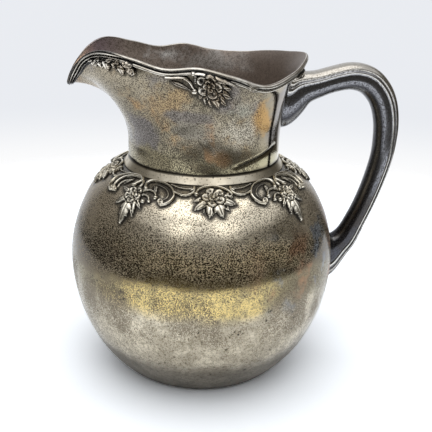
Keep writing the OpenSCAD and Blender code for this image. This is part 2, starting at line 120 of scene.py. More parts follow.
def neck_pt(a, s):
    """Outer face of the neck: s is -1 at the shoulder, 0 at the waist and 1 at the rim."""
    a, s = alike(a, s)
    q = np.radians(turn_at(a))
    t = np.maximum(s, 0)
    stand = between(UPRIGHT_S, a)
    flare = (1 - stand) * (1 - np.cos(q * t)) / (1 - np.cos(q)) + stand * (1 - np.cos(math.pi * t)) / 2
    rise = (1 - stand) * np.sin(q * t) / np.sin(np.minimum(q, math.pi / 2)) + stand * t
    r = NECK_R + (rim_r(a) - NECK_R) * flare
    z = np.where(s < 0, WAIST_Z + STRAIGHT_H * s, WAIST_Z + (rim_top(a) - WAIST_Z) * rise)
    return turned(a, r, z)


def unit(v):
    return v / np.maximum(np.linalg.norm(v, axis=-1, keepdims=True), 1e-9)


# Steps that slopes of the neck are taken over: in degrees, along the sheet and up to the rim
ANGLE_STEP, RUN_STEP, RISE_STEP = 0.3, 0.005, 0.03


def neck_out(a, s):
    s = np.minimum(s, 1 - RUN_STEP)
    across = neck_pt(a + ANGLE_STEP, s) - neck_pt(a - ANGLE_STEP, s)
    return unit(np.cross(across, neck_pt(a, s + RUN_STEP) - neck_pt(a, s - RUN_STEP)))


def rim_rise(a):
    return unit(neck_pt(a, 1.0) - neck_pt(a, 1 - RISE_STEP))


def under_rim(a, d, h):
    """Place at the distance d below the rim and h off the sheet. A d below 0 is above the rim."""
    a, d, h = alike(a, d, h)
    least = 0.05
    s = np.full(a.shape, 0.85)
    for _ in range(7):
        s = 1 - np.maximum(d, least) * (1 - s) / np.linalg.norm(neck_pt(a, 1.0) - neck_pt(a, s), axis=-1)
    above = np.maximum(least - d, 0)[..., None]
    return neck_pt(a, s) + above * rim_rise(a) + h[..., None] * neck_out(a, s)


def on_shoulder(a, d, h):
    """Place at the distance d down from the collar and h off the body."""
    b, r = TOP_TURN - d / SHOULDER_R, SHOULDER_R + h
    return turned(a, TURN_X + r * np.cos(b), TURN_Z + r * np.sin(b))


def ripple(points, size, depth, seed, waves=14):
    """Soft dents: a seeded sum of waves with about the given length and depth."""
    rng = np.random.default_rng(seed)
    out = np.zeros(points.shape[:-1])
    for _ in range(waves):
        k = rng.normal(size=3)
        k *= 2 * math.pi / size / np.linalg.norm(k) * rng.uniform(0.6, 1.6)
        out += np.sin(points @ k + rng.uniform(0, 2 * math.pi))
    return out * depth / waves ** 0.5


def bell(x, mid, wide):
    return np.exp(-((x - mid) / wide) ** 2)


def half_round(q):
    return np.sqrt(np.clip(1 - q * q, 0, 1))


def grid_faces(rows, cols, close_rows, close_cols):
    j, i = np.meshgrid(np.arange(rows if close_rows else rows - 1),
                       np.arange(cols if close_cols else cols - 1), indexing="ij")
    u, v = (j + 1) % rows, (i + 1) % cols
    return np.stack([j * cols + i, j * cols + v, u * cols + v, u * cols + i], -1).reshape(-1, 4)


def add_object(name, data):
    obj = bpy.data.objects.new(name, data)
    bpy.context.scene.collection.objects.link(obj)
    return obj


def piece(name, points, faces, material, nodes, sharp, values):
    """A mesh piece in millimetres that stands for the named CAD nodes."""
    mesh = bpy.data.meshes.new(name)
    points = np.asarray(points).reshape(-1, 3) * MM
    mesh.from_pydata(points.tolist(), [], [list(map(int, f)) for f in faces])
    bm = bmesh.new()
    bm.from_mesh(mesh)
    bmesh.ops.recalc_face_normals(bm, faces=bm.faces)
    bm.to_mesh(mesh)
    bm.free()
    for p in mesh.polygons:
        p.use_smooth = True
    if sharp:
        mesh.set_sharp_from_angle(angle=math.radians(sharp))
    for key, data in values.items():
        layer = mesh.attributes.new(key, "FLOAT", "POINT")
        layer.data.foreach_set("value", np.asarray(data, np.float32).ravel())
    mesh.materials.append(material)
    obj = add_object(name, mesh)
    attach(obj, "root")
    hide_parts(*nodes)


# Relief of the floral mounts: heights over a flat sheet of lateral place u and drop d
SKIRT, UNDER, GROOVE, CELL, TOP_H, RELIEF_H = -0.6, -0.75, 0.08, 0.3, 0.25, 1.9


def curve_points(points, steps=10):
    """A smooth line through given points, each with as many values as it has."""
    p = np.asarray(points, float)
    p = np.vstack([2 * p[0] - p[1], p, 2 * p[-1] - p[-2]])
    slope = (p[2:] - p[:-2]) / 2
    t = np.arange(steps)[:, None] / steps
    out = [hermite(p[k + 1], p[k + 2], slope[k], slope[k + 1], t) for k in range(len(slope) - 1)]
    return np.vstack(out + [p[-2]])


class Relief:
    """A height field that shapes are pressed into. Their h is a share of the full height."""

    def __init__(self, u0, u1, d0, d1, share=1.0):
        self.full = RELIEF_H * share
        self.u, self.d = np.meshgrid(np.arange(u0, u1 + CELL, CELL), np.arange(d0, d1 + CELL, CELL))
        self.h = np.full(self.u.shape, SKIRT)

    def lay(self, height, inside, around):
        """Raise the field where inside is below 1, and cut a groove round it where around is below 1."""
        edge = SKIRT + (height - SKIRT) * np.sqrt(np.clip(1 - np.clip(inside, 0, 1) ** 5, 0, 1))
        self.h = np.where((around < 1) & (self.h > GROOVE), GROOVE, self.h)
        self.h = np.maximum(self.h, np.where(inside < 1, edge, SKIRT))

    def stroke(self, points, w, h, taper=0.0):
        """A rounded stem along a smooth line, thinner at both ends by the taper."""
        line = curve_points(points)
        best = np.full(self.u.shape, SKIRT)
        n = len(line) - 1
        for k in range(n):
            a, b = line[k], line[k + 1]
            e = b - a
            t = np.clip(((self.u - a[0]) * e[0] + (self.d - a[1]) * e[1]) / max(e @ e, 1e-9), 0, 1)
            far = np.hypot(self.u - a[0] - t * e[0], self.d - a[1] - t * e[1])
            slim = 1 - taper * abs(2 * (k + t) / n - 1) ** 2
            q = far / (w / 2 * slim)
            top = h * self.full * (0.55 + 0.45 * slim) * half_round(q)
            best = np.maximum(best, np.where(q < 1, np.maximum(top, SKIRT + (1 - q)), SKIRT))
        self.h = np.maximum(self.h, best)

    def volute(self, u, d, r, start, turns, w, h):
        """A spiral stem that winds in to a ball."""
        t = np.linspace(0, 1, 14)
        ang = np.radians(start) + t * turns * 2 * math.pi
        rad = r * (1 - 0.78 * t)
        self.stroke(np.stack([u + rad * np.cos(ang), d + rad * np.sin(ang)], 1), w, h)
        self.bead(u + rad[-1] * math.cos(ang[-1]), d + rad[-1] * math.sin(ang[-1]), w * 0.75, h * 1.15)

    def bead(self, u, d, r, h):
        q = np.hypot(self.u - u, self.d - d) / r
        self.h = np.maximum(self.h, np.where(q < 1, h * self.full * half_round(q), SKIRT))

    def local(self, u, d, turn):
        """Distance along and across a direction, measured from straight down towards +u."""
        c, s = math.cos(math.radians(turn)), math.sin(math.radians(turn))
        du, dd = self.u - u, self.d - d
        return du * s + dd * c, du * c - dd * s

    def leaf(self, u, d, turn, long, wide, h, lobes=0, bend=0.0, gap=0.45):
        """A pointed leaf with a midrib, side veins and, where lobes are given, a toothed edge."""
        h *= self.full
        x, y = self.local(u, d, turn)
        t = np.clip(x / long, 0.001, 0.999)
        y = y - bend * long * t * t
        half = wide / 2 * np.where(t < 0.3, np.sqrt(t / 0.3), 1 - np.clip((t - 0.3) / 0.7, 0, 1) ** 1.7)
        if lobes:
            half = half * (0.76 + 0.34 * ((lobes * t + 0.35) % 1.0))
        q = np.abs(y) / (half + 0.05)
        dome = h * (0.6 + 0.4 * np.sin(math.pi * t ** 0.7)) * (1 - 0.45 * q * q)
        dome -= 0.34 * h * bell(y, 0, 0.3) * (t < 0.85)
        dome -= 0.1 * h * np.clip(np.sin(2 * math.pi * (x - 0.9 * np.abs(y)) / (0.22 * long + 0.5)), 0, 1) * q
        near = np.where((x < -gap) | (x > long + gap), 2.0, np.abs(y) / (half + gap))
        self.lay(dome, np.where((x < 0) | (x > long), 2.0, q), near)

    def wreath(self, u, d, r, h, leaves):
        """Leaves that point away from a middle, with their feet at the distance r round it."""
        for turn, tip, wide, lobes in leaves:
            c, s = math.cos(math.radians(turn)), math.sin(math.radians(turn))
            self.leaf(u + r * s, d + r * c, turn, tip - r, wide, h, lobes)

    def petal(self, u, d, turn, reach, r, h, gap=0.4):
        """A cupped petal with a raised round edge."""
        h *= self.full
        x, y = self.local(u, d, turn)
        far = np.hypot(x - reach, y / 0.98)
        q = far / r
        cup = h * (0.5 + 0.5 * smooth(0.2, 0.85, q) * smooth(-0.5 * r, 0.45 * r, x - reach))
        cup -= 0.14 * h * bell(y, 0, 0.15 * r) * smooth(0, r, x)
        self.lay(cup, q, far / (r + gap))

    def rose(self, u, d, r, h, turn):
        """Five outer petals that overlap in turn, a ring of small ones and a bead."""
        for k in range(5):
            self.petal(u, d, turn + 144 * k, 0.57 * r, 0.46 * r, h * (0.9 + 0.05 * (k % 3)))
        for k in range(4):
            self.petal(u, d, turn + 30 + 90 * k, 0.25 * r, 0.25 * r, h * 1.1, 0.3)
        well = np.hypot(self.u - u, self.d - d) / (0.21 * r)
        self.h = np.where(well < 1, GROOVE, self.h)
        self.bead(u, d, 0.15 * r, h * 1.15)

    def tone(self):
        """0 in the blackened hollows and 1 on the rubbed tops."""
        flat = np.maximum(self.h, 0)
        soft = flat.copy()
        for _ in range(5):
            p = np.pad(soft, 1, mode="edge")
            soft = (p[:-2, 1:-1] + p[2:, 1:-1] + p[1:-1, :-2] + p[1:-1, 2:] + 2 * soft) / 6
        return np.clip(0.08 + 0.6 * flat / RELIEF_H + 1.1 * (flat - soft) / RELIEF_H, 0, 1)

    def mesh(self, place, flip):
        """Closed plate: the relief on top, and a plain underside inside the sheet."""
        keep = self.h > SKIRT + 0.02
        cell = keep[:-1, :-1] | keep[1:, :-1] | keep[:-1, 1:] | keep[1:, 1:]
        rows, cols = self.h.shape
        j, i = np.nonzero(cell)
        at = j * cols + i
        quad = np.stack([at, at + 1, at + cols + 1, at + cols], -1)
        used = np.unique(quad)
        index = np.full(rows * cols, -1)
        index[used] = np.arange(len(used))
        top = index[quad]
        n = len(used)
        edges = dict.fromkeys((a, b) for f in top for a, b in zip(f, np.roll(f, -1)))
        rim = [(a, b) for a, b in edges if (b, a) not in edges]
        faces = [list(f) for f in top] + [[v + n for v in f[::-1]] for f in top]
        faces += [[b, a, a + n, b + n] for a, b in rim]
        u, d, h = (v.ravel()[used] for v in (self.u, self.d, self.h))
        u = -u if flip else u
        points = np.vstack([place(u, d, h), place(u, d, np.full(n, UNDER))])
        return points, faces, used


def shoulder_place(a):
    def put(u, d, h):
        rad = TURN_X + SHOULDER_R * np.cos(TOP_TURN - d / SHOULDER_R)
        return on_shoulder(a + np.degrees(u / rad), d, h)
    return put


def border_at(a):
    return BORDER_W * between(BORDER_S, a)


def rim_place(a, side, lift):
    """Along the rim, lifted over the border where the mount lies on it."""
    def put(u, d, h):
        ang = a + np.degrees(u / rim_r(a))
        over = lift * (1 - smooth(0.85, 1.35, d / border_at(ang))) * (h > SKIRT - 0.1)
        return under_rim(side * ang, d, h + over)
    return put


# Node helpers for the procedural materials
class Shader:
    def __init__(self, tree):
        self.tree = tree
        tree.nodes.clear()

    def node(self, kind, inputs=None, **props):
        n = self.tree.nodes.new("ShaderNode" + kind)
        for key, value in props.items():
            setattr(n, key, value)
        for key, value in (inputs or {}).items():
            self.put(n.inputs[key], value)
        return n

    def put(self, socket, value):
        if isinstance(value, bpy.types.NodeSocket):
            self.tree.links.new(value, socket)
        elif socket.type == "RGBA" and len(value) == 3:
            socket.default_value = (*value, 1.0)
        else:
            socket.default_value = value

    def math(self, op, a, b=0.0):
        return self.node("Math", {0: a, 1: b}, operation=op).outputs[0]

    def add(self, a, b):
        return self.math("ADD", a, b)

    def sub(self, a, b):
        return self.math("SUBTRACT", a, b)

    def mul(self, a, b):
        return self.math("MULTIPLY", a, b)

    def most(self, a, b):
        return self.math("MAXIMUM", a, b)

    def sway(self, noise, share):
        """A noise as a swing about 0."""
        return self.mul(self.sub(noise, 0.5), share)

    def span(self, x, lo, hi, out_lo=0.0, out_hi=1.0):
        inputs = {"Value": x, "From Min": lo, "From Max": hi, "To Min": out_lo, "To Max": out_hi}
        return self.node("MapRange", inputs, interpolation_type="SMOOTHSTEP").outputs[0]

    def mix(self, f, a, b):
        return self.node("Mix", {0: f, 6: a, 7: b}, data_type="RGBA").outputs[2]

    def blend(self, f, a, b):
        return self.node("Mix", {0: f, 2: a, 3: b}, data_type="FLOAT").outputs[0]

    def noise(self, vector, scale, detail, rough, place=(0, 0, 0), stretch=(1, 1, 1)):
        moved = self.node("Mapping", {"Vector": vector, "Location": place, "Scale": stretch}).outputs[0]
        inputs = {"Vector": moved, "Scale": scale, "Detail": detail, "Roughness": rough}
        return self.node("TexNoise", inputs).outputs[0]

    def axes(self, vector):
        return self.node("SeparateXYZ", {"Vector": vector}).outputs

    def length(self, vector):
        return self.node("VectorMath", {0: vector}, operation="LENGTH").outputs["Value"]

    def patch(self, vector, place, size, edge):
        """1 within an oval of the given half size, with an edge broken up by a noise."""
        off = self.node("VectorMath", {0: vector, 1: place}, operation="SUBTRACT").outputs[0]
        off = self.node("VectorMath", {0: off, 1: size}, operation="DIVIDE").outputs[0]
        return self.span(self.add(self.length(off), self.sway(edge, 6.0)), 1.4, 0.5)

    def specks(self, fine, cover, soft):
        """1 in fine specks, which take up more of the surface as the cover grows."""
        gate = self.sub(0.65, self.mul(cover, 0.3))
        return self.span(self.sub(fine, gate), -soft, soft)

    def rays(self):
        """1 for what the camera sees, and 1 for what shows in metal and glass."""
        path = self.node("LightPath").outputs
        return path["Is Camera Ray"], self.most(path["Is Glossy Ray"], path["Is Transmission Ray"])

    def value(self, name):
        return self.node("Attribute", attribute_name=name).outputs["Fac"]


def start(name):
    mat = bpy.data.materials.new(name)
    mat.use_nodes = True
    sh = Shader(mat.node_tree)
    sh.mat = mat
    return sh, sh.node("TexCoord").outputs["Object"]


def end(sh, colour, metal, rough, height, strength, distance, shine=0.5):
    bump = sh.node("Bump", {"Strength": strength, "Distance": distance, "Height": height})
    bsdf = sh.node("BsdfPrincipled", {"Base Color": colour, "Metallic": metal, "Roughness": rough,
                                      "Specular IOR Level": shine, "Normal": bump.outputs[0]})
    sh.node("OutputMaterial", {"Surface": bsdf.outputs[0]})
    return sh.mat


def body_silver():
    sh, spot = start("tarnished_silver")
    x, _, z = sh.axes(spot)
    broad = sh.noise(spot, 22, 4, 0.6)
    blotch = sh.noise(spot, 60, 5, 0.65, (0.7, 0.1, 0.7))
    drip = sh.noise(spot, 46, 2, 0.45, (0.2, 0.5, 0.3), (1, 1, 0.3))
    cloud = sh.noise(spot, 34, 4, 0.6, (0.55, 0.35, 0.15))
    fine = sh.noise(spot, 1950, 2, 0.55)
    pit = sh.noise(spot, 520, 2, 0.6, (0.9, 0.2, 0.4))
    # Zones by height, with wavy edges that sink towards the flanks
    level = sh.add(z, sh.sway(broad, 0.03))
    flank = sh.span(sh.math("ABSOLUTE", sh.add(x, -0.006)), 0.024, 0.066)
    sunk = sh.add(level, sh.mul(flank, 0.006))
    golden = sh.span(level, 0.058, 0.07)
    band = sh.span(sunk, 0.066, 0.088)
    shoulder = sh.span(level, 0.092, 0.106)
    # Painted shade: the ground and the specks darken on both flanks, over the girth and up the shoulder's
    # sides
    shade = sh.mul(sh.mul(flank, sh.span(sunk, 0.078, 0.092)), sh.span(level, 0.096, 0.112, 0.9, 0.3))
    # Blushes of orange and blue near the handle
    flush = sh.mul(sh.mul(golden, sh.span(level, 0.112, 0.096)), sh.span(x, 0.01, 0.045))
    blue = sh.mul(flush, sh.span(cloud, 0.46, 0.38))
    # Ground: pale grey low down, gold below the girth, and dark brown from there to the collar
    low = sh.mix(sh.span(blotch, 0.36, 0.6), (0.62, 0.555, 0.435), (0.41, 0.36, 0.275))
    # Painted shade: the pale ground darkens towards both sides
    low = sh.mix(sh.span(sh.math("ABSOLUTE", x), 0.05, 0.078), low, (0.34, 0.3, 0.225))
    gold = sh.mix(sh.span(blotch, 0.48, 0.66), (0.66, 0.51, 0.215), (0.42, 0.345, 0.185))
    # Painted shade: the gold darkens towards both sides
    aside = sh.span(sh.math("ABSOLUTE", sh.add(x, 0.014)), 0.03, 0.056)
    gold = sh.mix(aside, gold, (0.22, 0.19, 0.12))
    brown = sh.mix(sh.span(blotch, 0.42, 0.6), (0.12, 0.092, 0.058), (0.07, 0.054, 0.035))
    ground = sh.mix(golden, low, gold)
    ground = sh.mix(sh.mul(sh.span(pit, 0.5, 0.6), 0.5), ground, (0.23, 0.19, 0.12))
    ground = sh.mix(sh.span(sunk, 0.08, 0.088), ground, brown)
    ground = sh.mix(sh.mul(flush, sh.span(cloud, 0.54, 0.64)), ground, (0.33, 0.19, 0.105))
    ground = sh.mix(blue, ground, (0.21, 0.23, 0.25))
    ground = sh.mix(sh.span(level, 0.095, 0.108), ground, (0.15, 0.12, 0.08))
    ground = sh.mix(shade, ground, (0.05, 0.041, 0.03))
    # Specks: dull in drips low down, tan over the girth and bright metal on the shoulder
    hang = sh.mul(sh.span(level, 0.04, 0.052), sh.span(drip, 0.48, 0.6))
    hang = sh.mul(hang, sh.span(level, 0.08, 0.07))
    cover = sh.add(sh.blend(band, 0.2, 0.4), sh.mul(shoulder, 0.21))
    cover = sh.add(cover, sh.mul(hang, 0.38))
    cover = sh.add(cover, sh.sway(blotch, sh.blend(band, 0.7, 0.35)))
    cover = sh.add(cover, sh.mul(flank, sh.blend(band, 0.2, -0.04)))
    speck = sh.specks(fine, cover, 0.022)
    film = sh.mix(sh.span(level, 0.062, 0.074), (0.26, 0.215, 0.145), (0.17, 0.135, 0.08))
    film = sh.mix(sh.span(sunk, 0.082, 0.092), film, (0.62, 0.5, 0.3))
    film = sh.mix(shoulder, film, (0.92, 0.82, 0.63))
    # Painted shade: the bright specks darken on the flanks of the shoulder
    film = sh.mix(sh.mul(flank, sh.span(level, 0.094, 0.106, 0, 0.85)), film, (0.42, 0.35, 0.25))
    film = sh.mix(shade, film, (0.32, 0.262, 0.177))
    film = sh.mix(sh.mul(flush, sh.span(cloud, 0.52, 0.62)), film, (0.44, 0.27, 0.16))
    film = sh.mix(blue, film, (0.29, 0.315, 0.34))
    colour = sh.mix(speck, ground, film)
    holes = sh.mul(sh.span(pit, 0.65, 0.7), sh.span(blotch, 0.44, 0.56))
    colour = sh.mix(holes, colour, (0.035, 0.03, 0.022))
    # Darkened where the piece marks it: tarnish and painted shade round the mounts, the joint at the collar,
    # and the painted reflection of the shadow at the foot
    grime_and_painted_shade = sh.value("grime_and_painted_shade")
    colour = sh.mix(sh.mul(grime_and_painted_shade, 0.94), colour, (0.026, 0.023, 0.02))
    metalness = sh.blend(speck, 1, sh.blend(flank, sh.blend(shoulder, 0.25, 1), 0.25))
    metalness = sh.mul(metalness, sh.span(grime_and_painted_shade, 0.2, 1, 1, 0.35))
    bare = sh.add(sh.blend(sh.span(blotch, 0.4, 0.6), 0.1, 0.18), sh.span(level, 0.09, 0.1, 0, 0.1))
    rough = sh.blend(sh.most(speck, grime_and_painted_shade), bare, sh.blend(shoulder, 0.5, 0.24))
    height = sh.add(sh.mul(fine, 0.35), sh.mul(pit, 0.5))
    return end(sh, colour, metalness, rough, height, 0.12, 0.0003, sh.blend(grime_and_painted_shade, 0.5, 0.12))


# Near black, for dirt and for painted shade
DIRT_AND_PAINTED_SHADE = (0.03, 0.026, 0.02)


def neck_silver():
    sh, spot = start("tarnished_neck")
    x, _, z = sh.axes(spot)
    broad = sh.noise(spot, 26, 4, 0.6, (0.31, 0.2, 0.8))
    patch = sh.noise(spot, 32, 5, 0.62, (0.7, 0.62, 0.1))
    cloud = sh.noise(spot, 27, 4, 0.6, (0.15, 0.45, 0.25))
    fine = sh.noise(spot, 1950, 2, 0.55)
    pit = sh.noise(spot, 520, 2, 0.6, (0.3, 0.9, 0.2))
    inside = sh.value("inside")
    orange, grey = sh.span(patch, 0.56, 0.7), sh.span(cloud, 0.52, 0.68)
    # Bare metal with blushes of orange and blue grey, yellower down at the collar
    metal = sh.mix(sh.span(broad, 0.4, 0.62), (0.35, 0.3, 0.22), (0.25, 0.215, 0.15))
    metal = sh.mix(orange, metal, (0.35, 0.235, 0.12))
    metal = sh.mix(grey, metal, (0.25, 0.225, 0.205))
    metal = sh.mix(sh.span(z, 0.15, 0.13), metal, (0.42, 0.37, 0.23))
    film = sh.mix(orange, (0.12, 0.1, 0.07), (0.19, 0.12, 0.065))
    film = sh.mix(grey, film, (0.105, 0.093, 0.085))
    for place, wide, high, tint, stain in (
        ((-0.027, -0.04, 0.167), 0.012, 0.012, (0.34, 0.25, 0.14), (0.19, 0.13, 0.075)),
        ((-0.002, -0.044, 0.148), 0.003, 0.011, (0.4, 0.25, 0.135), (0.27, 0.165, 0.09)),
        ((0.006, -0.044, 0.14), 0.006, 0.005, (0.42, 0.27, 0.14), (0.22, 0.14, 0.08)),
        ((-0.018, -0.042, 0.1475), 0.016, 0.005, (0.17, 0.145, 0.105), (0.07, 0.058, 0.041)),
        ((0.029, -0.033, 0.1345), 0.011, 0.004, (0.41, 0.37, 0.235), (0.2, 0.175, 0.105)),
        ((0.027, -0.037, 0.16), 0.007, 0.009, (0.42, 0.26, 0.105), (0.28, 0.16, 0.065)),
        ((-0.036, -0.028, 0.151), 0.012, 0.01, (0.18, 0.16, 0.145), (0.09, 0.079, 0.07)),
        ((-0.03, -0.035, 0.135), 0.011, 0.006, (0.23, 0.195, 0.12), (0.1, 0.084, 0.052)),
        ((-0.014, -0.043, 0.1625), 0.018, 0.0035, (0.205, 0.18, 0.155), (0.09, 0.077, 0.065)),
        ((-0.014, -0.043, 0.1545), 0.014, 0.004, (0.24, 0.215, 0.17), (0.12, 0.102, 0.078)),
        ((0.014, -0.043, 0.152), 0.01, 0.013, (0.5, 0.45, 0.355), (0.22, 0.195, 0.15)),
        ((0.014, -0.043, 0.166), 0.008, 0.004, (0.36, 0.345, 0.275), (0.22, 0.21, 0.165))):
        here = sh.patch(spot, place, (wide, 0.02, high), patch)
        metal = sh.mix(here, metal, tint)
        film = sh.mix(here, film, stain)
    cover = sh.add(0.42, sh.sway(broad, 0.9))
    clean = sh.span(x, 0.025, 0.031)
    cover = sh.sub(cover, sh.mul(clean, 0.7))
    speck = sh.specks(fine, cover, 0.03)
    colour = sh.mix(speck, metal, film)
    holes = sh.mul(sh.span(pit, 0.65, 0.7), sh.span(broad, 0.4, 0.55))
    colour = sh.mix(holes, colour, (0.05, 0.04, 0.028))
    # Inside, brown with pale clouds near the rim, and orange and violet under the spout
    lining = sh.mix(sh.span(broad, 0.38, 0.62), (0.44, 0.36, 0.3), (0.27, 0.21, 0.17))
    pale = sh.mul(sh.span(cloud, 0.54, 0.68), sh.span(z, 0.16, 0.176))
    lining = sh.mix(pale, lining, (0.6, 0.58, 0.55))
    lining = sh.mix(sh.span(x, 0.004, 0.036), lining, (0.19, 0.145, 0.115))
    for place, wide, tint in (
        ((-0.021, 0.045, 0.183), 0.01, (0.82, 0.79, 0.75)),
        ((0.01, 0.046, 0.177), 0.014, (0.38, 0.345, 0.31))):
        lining = sh.mix(sh.patch(spot, place, (wide, 0.03, 0.005), patch), lining, tint)
    lining = sh.mix(sh.span(x, -0.04, -0.066), lining, (0.36, 0.27, 0.3))
    lining = sh.mix(sh.span(x, -0.06, -0.074), lining, (0.62, 0.4, 0.25))
    grain = sh.add(fine, sh.sway(pit, 0.5))
    lining = sh.mix(sh.mul(sh.span(grain, 0.46, 0.6), 0.8), lining, (0.1, 0.078, 0.06))
    colour = sh.mix(inside, colour, lining)
    # Darkened where the piece marks it: a solder line, tarnish and painted shade round the mounts, and
    # painted shade along the crease
    grime_and_painted_shade = sh.value("grime_and_painted_shade")
    colour = sh.mix(grime_and_painted_shade, colour, DIRT_AND_PAINTED_SHADE)
    metalness = sh.mul(sh.blend(speck, 1, 0.45), sh.blend(inside, 1, 0.3))
    rough = sh.blend(speck, sh.blend(clean, sh.blend(sh.span(cloud, 0.4, 0.6), 0.1, 0.2), 0.06), 0.45)
    rough = sh.most(rough, sh.mul(inside, 0.4))
    height = sh.add(sh.mul(fine, 0.4), sh.mul(pit, 0.5))
    return end(sh, colour, metalness, rough, height, 0.12, 0.0003)


def handle_silver():
    sh, spot = start("handle_dark")
    broad = sh.noise(spot, 34, 4, 0.6, (0.5, 0.3, 0.6))
    fine = sh.noise(spot, 1900, 1, 0.5)
    rubbed_and_highlit, crown, inner = sh.value("ridge"), sh.value("crown"), sh.value("inner")
    z = sh.axes(spot)[2]
    upper = sh.span(z, 0.156, 0.17)
    metal = sh.mix(sh.span(broad, 0.4, 0.62), (0.075, 0.077, 0.088), (0.065, 0.058, 0.054))
    # Painted light: the metal is lighter up high, where light falls from above
    metal = sh.mix(sh.span(z, 0.095, 0.13), metal, (0.29, 0.29, 0.305))
    # Painted shade: the inner face of the bow is near black
    metal = sh.mix(inner, metal, (0.035, 0.035, 0.04))
    # Painted light: the crown is lighter, most of all on the upper run
    metal = sh.mix(crown, metal, sh.mix(upper, (0.15, 0.14, 0.13), (0.5, 0.465, 0.41)))
    # Ridges rubbed bright by wear and lightened further as a painted highlight
    metal = sh.mix(rubbed_and_highlit, metal, (0.86, 0.83, 0.77))
    speck = sh.mul(sh.span(fine, 0.5, 0.58), sh.sub(1, rubbed_and_highlit))
    # Painted light: the film on the crown is lighter on the upper run
    film = sh.mix(crown, (0.05, 0.047, 0.05), sh.mix(upper, (0.07, 0.065, 0.06), (0.28, 0.25, 0.205)))
    colour = sh.mix(sh.mul(speck, 0.85), metal, film)
    metalness = sh.blend(speck, 1, 0.7)
    rough = sh.blend(speck, sh.blend(sh.span(broad, 0.4, 0.6), 0.1, 0.17), 0.36)
    return end(sh, colour, metalness, rough, fine, 0.06, 0.0002)


def relief_silver(name, dark, bright, tint, start_at=0.22, full_at=0.66):
    """Cast mounts: blackened in the hollows, rubbed on the tops."""
    sh, spot = start(name)
    tone = sh.value("tone")
    broad = sh.noise(spot, 70, 3, 0.6)
    fine = sh.noise(spot, 1100, 2, 0.6)
    worn = sh.add(sh.add(tone, sh.sway(fine, 0.45)), sh.sway(broad, 0.5))
    top = sh.mix(sh.span(broad, 0.42, 0.6), bright, tint)
    colour = sh.mix(sh.span(worn, start_at, full_at), dark, top)
    metalness = sh.span(worn, 0.1, 0.45, 0.5, 1)
    rough = sh.span(worn, 0.2, 0.8, 0.5, 0.24)
    return end(sh, colour, metalness, rough, fine, 0.1, 0.0002)


def collar_silver():
    sh, spot = start("bright_collar")
    broad = sh.noise(spot, 45, 4, 0.6, (0.1, 0.8, 0.3))
    fine = sh.noise(spot, 800, 2, 0.6)
    grime_and_painted_shade = sh.value("grime_and_painted_shade")
    metal = sh.mix(sh.span(broad, 0.42, 0.62), (0.82, 0.745, 0.59), (0.6, 0.525, 0.395))
    speck = sh.span(sh.add(fine, sh.sway(broad, 0.3)), 0.6, 0.7)
    colour = sh.mix(sh.mul(speck, 0.8), metal, (0.15, 0.125, 0.09))
    colour = sh.mix(grime_and_painted_shade, colour, DIRT_AND_PAINTED_SHADE)
    rough = sh.blend(speck, 0.3, 0.45)
    return end(sh, colour, sh.blend(speck, 1, 0.6), rough, fine, 0.1, 0.0002)


def plate_silver():
    sh, spot = start("base_plate")
    broad = sh.noise(spot, 40, 4, 0.6)
    fine = sh.noise(spot, 600, 3, 0.6)
    metal = sh.mix(sh.span(broad, 0.4, 0.62), (0.4, 0.35, 0.27), (0.26, 0.22, 0.17))
    speck = sh.span(fine, 0.52, 0.62)
    colour = sh.mix(speck, metal, (0.16, 0.125, 0.085))
    return end(sh, colour, sh.blend(speck, 1, 0.5), sh.blend(speck, 0.28, 0.55), fine, 0.15, 0.0003)


BODY_MAT, NECK_MAT, HANDLE_MAT = body_silver(), neck_silver(), handle_silver()
COLLAR_MAT, PLATE_MAT = collar_silver(), plate_silver()
MOUNT_MAT = relief_silver("oxidised_mount", (0.02, 0.016, 0.011), (0.92, 0.86, 0.72), (0.74, 0.67, 0.53))
RIM_MAT = relief_silver("rim_border", (0.014, 0.012, 0.011), (0.74, 0.7, 0.62), (0.42, 0.38, 0.32))
RIM_MOUNT_MAT = relief_silver("rim_mount", (0.014, 0.012, 0.01), (0.9, 0.84, 0.74), (0.5, 0.43, 0.34),
                              0.32, 0.78)


# Floral mounts on the shoulder and on the rim
def rose_relief():
    f = Relief(-13, 13, -0.4, 23)
    u, d = 0, 8.8
    f.wreath(u, d, 4, 1, (
        (42, 11.6, 4.6, 2), (-32, 11.4, 4.6, 2), (-74, 11.2, 4, 0), (86, 10.6, 4, 0),
        (64, 13, 6, 2), (-52, 13.8, 5.6, 2), (-14, 13, 7.4, 2), (19, 13.2, 8, 3)))
    f.stroke([(-9, 6.4), (-7.8, 4), (-5, 1.7), (-1.6, 0.8), (2.2, 1.1), (6, 3), (8.8, 5.6),
              (9.8, 7.8), (8.6, 9.2), (7.2, 8.2), (7.6, 6.8)], 1.35, 0.85)
    f.bead(-9, 7, 1.5, 1)
    f.bead(7.6, 7.6, 0.9, 0.9)
    f.rose(u, d, 6.4, 1.1, 200)
    return f


